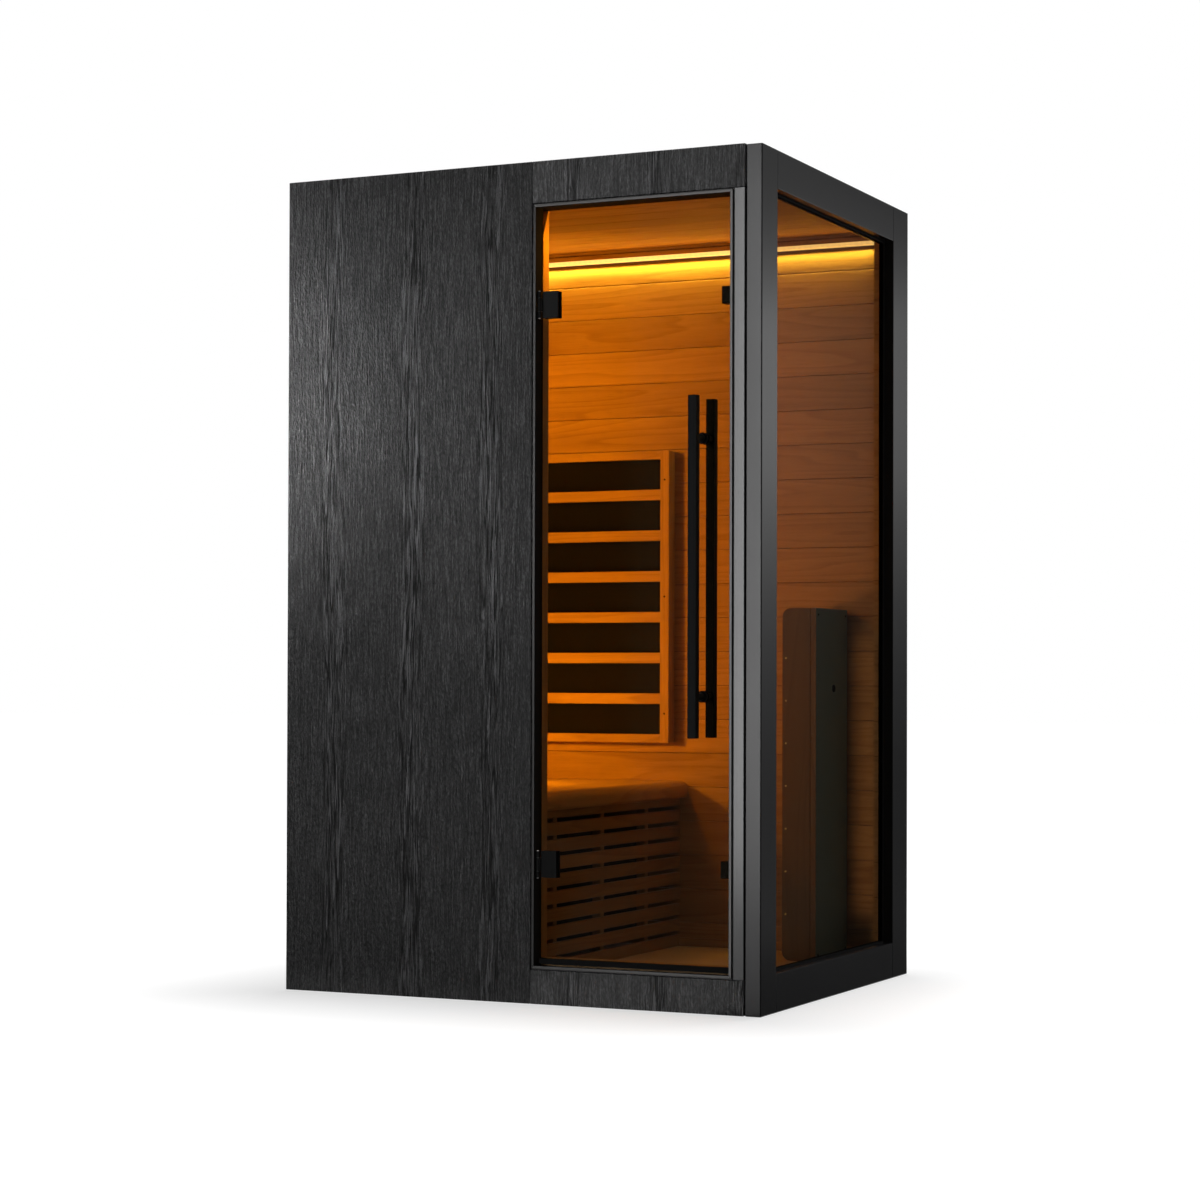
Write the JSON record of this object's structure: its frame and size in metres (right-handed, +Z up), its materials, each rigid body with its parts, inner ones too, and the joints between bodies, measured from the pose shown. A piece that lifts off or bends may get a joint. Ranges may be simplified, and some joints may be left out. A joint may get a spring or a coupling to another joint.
{
  "type": "infrared sauna cabin",
  "caption": "Free-standing infrared sauna cabin with a black grained front, a framed glass door, a glass side, a plank-lined room, a slatted bench and slatted heaters.",
  "frame": {"origin": "centre of the cabin's underside, without the handle", "axes": "+X to the right, -Y to the front with the door, +Z up"},
  "size_m": [1.2, 1.018, 1.9],
  "materials": {
    "black_grain": "black embossed wood grain, satin",
    "black_frame": "smooth black lacquered timber, satin",
    "plank_wood": "clear planed softwood planks",
    "deck_wood": "planed softwood floor boards",
    "base_board": "raw board under the floor",
    "heater_wood": "planed softwood slats",
    "tower_wood": "planed softwood boards",
    "cover_grey": "dark grey matt cover",
    "emitter_black": "black carbon panel behind fabric",
    "bronze_glass": "bronze tinted toughened glass",
    "door_trim": "dark anodised profile",
    "black_hardware": "black powder coat",
    "pin_steel": "brushed",
    "sweep_rubber": "black extruded seal",
    "led_diffuser": "warm white diffuser",
    "box_grey": "folded sheet",
    "panel_black": "gloss black"
  },
  "bodies": {
    "cabin": {"front_left_panel": "black_grain", "front_header_panel": "black_grain", "front_footer_panel": "black_grain", "front_right_stile": "black_grain", "left_wall_panel": "black_grain", "back_wall_panel": "black_grain", "roof_cover": "black_grain", "front_corner_post": "black_frame", "rear_corner_post": "black_frame", "side_top_rail": "black_frame", "side_bottom_rail": "black_frame", "left_wall_lining": "plank_wood", "back_wall_lining": "plank_wood", "front_wall_lining": "plank_wood", "ceiling_lining": "plank_wood", "sill_liner": "plank_wood", "header_liner": "plank_wood", "jamb_liner_left": "plank_wood", "jamb_liner_right": "plank_wood", "roof_joist": "plank_wood", "bench_seat": "plank_wood", "bench_grille": "plank_wood", "floor_deck": "deck_wood", "base_panel": "base_board", "back_heater_frame": "heater_wood", "left_heater_frame": "heater_wood", "tower_case": "tower_wood", "tower_grille": "tower_wood", "tower_back_cover": "cover_grey", "back_heater_emitter": "emitter_black", "left_heater_emitter": "emitter_black", "tower_emitter": "emitter_black", "calf_emitter": "emitter_black", "side_glass": "bronze_glass", "door_frame_left": "door_trim", "door_frame_right": "door_trim", "door_frame_head": "door_trim", "door_frame_sill": "door_trim", "hinge_leaf_lower": "black_hardware", "hinge_leaf_upper": "black_hardware", "catch_lower": "black_hardware", "catch_upper": "black_hardware", "led_profile": "black_hardware", "hinge_pin_lower": "pin_steel", "hinge_pin_upper": "pin_steel", "led_strip": "led_diffuser", "power_box": "box_grey", "control_panel": "panel_black", "power_inlet": "panel_black"},
    "door": {"door_glass": "bronze_glass", "door_sweep": "sweep_rubber", "hinge_clamp_lower": "black_hardware", "hinge_clamp_upper": "black_hardware", "handle_outer_bar": "black_hardware", "handle_inner_bar": "black_hardware", "handle_standoff_lower": "black_hardware", "handle_standoff_upper": "black_hardware"},
    "power_key": {"power_button": "pin_steel"},
    "light_key": {"light_button": "pin_steel"}
  },
  "joints": [
    {"name": "door_hinge", "type": "hinge", "parent": "cabin", "child": "door", "pos_m": [0.0543, -0.478, 0.945], "axis": [0, 0, -1], "range_deg": [0, 105]},
    {"name": "power_press", "type": "slide", "parent": "cabin", "child": "power_key", "axis": [0, -1, 0], "range_m": [0, 0.0015], "stiffness_N_per_m": 400},
    {"name": "light_press", "type": "slide", "parent": "cabin", "child": "light_key", "axis": [0, -1, 0], "range_m": [0, 0.0015], "stiffness_N_per_m": 400}
  ]
}
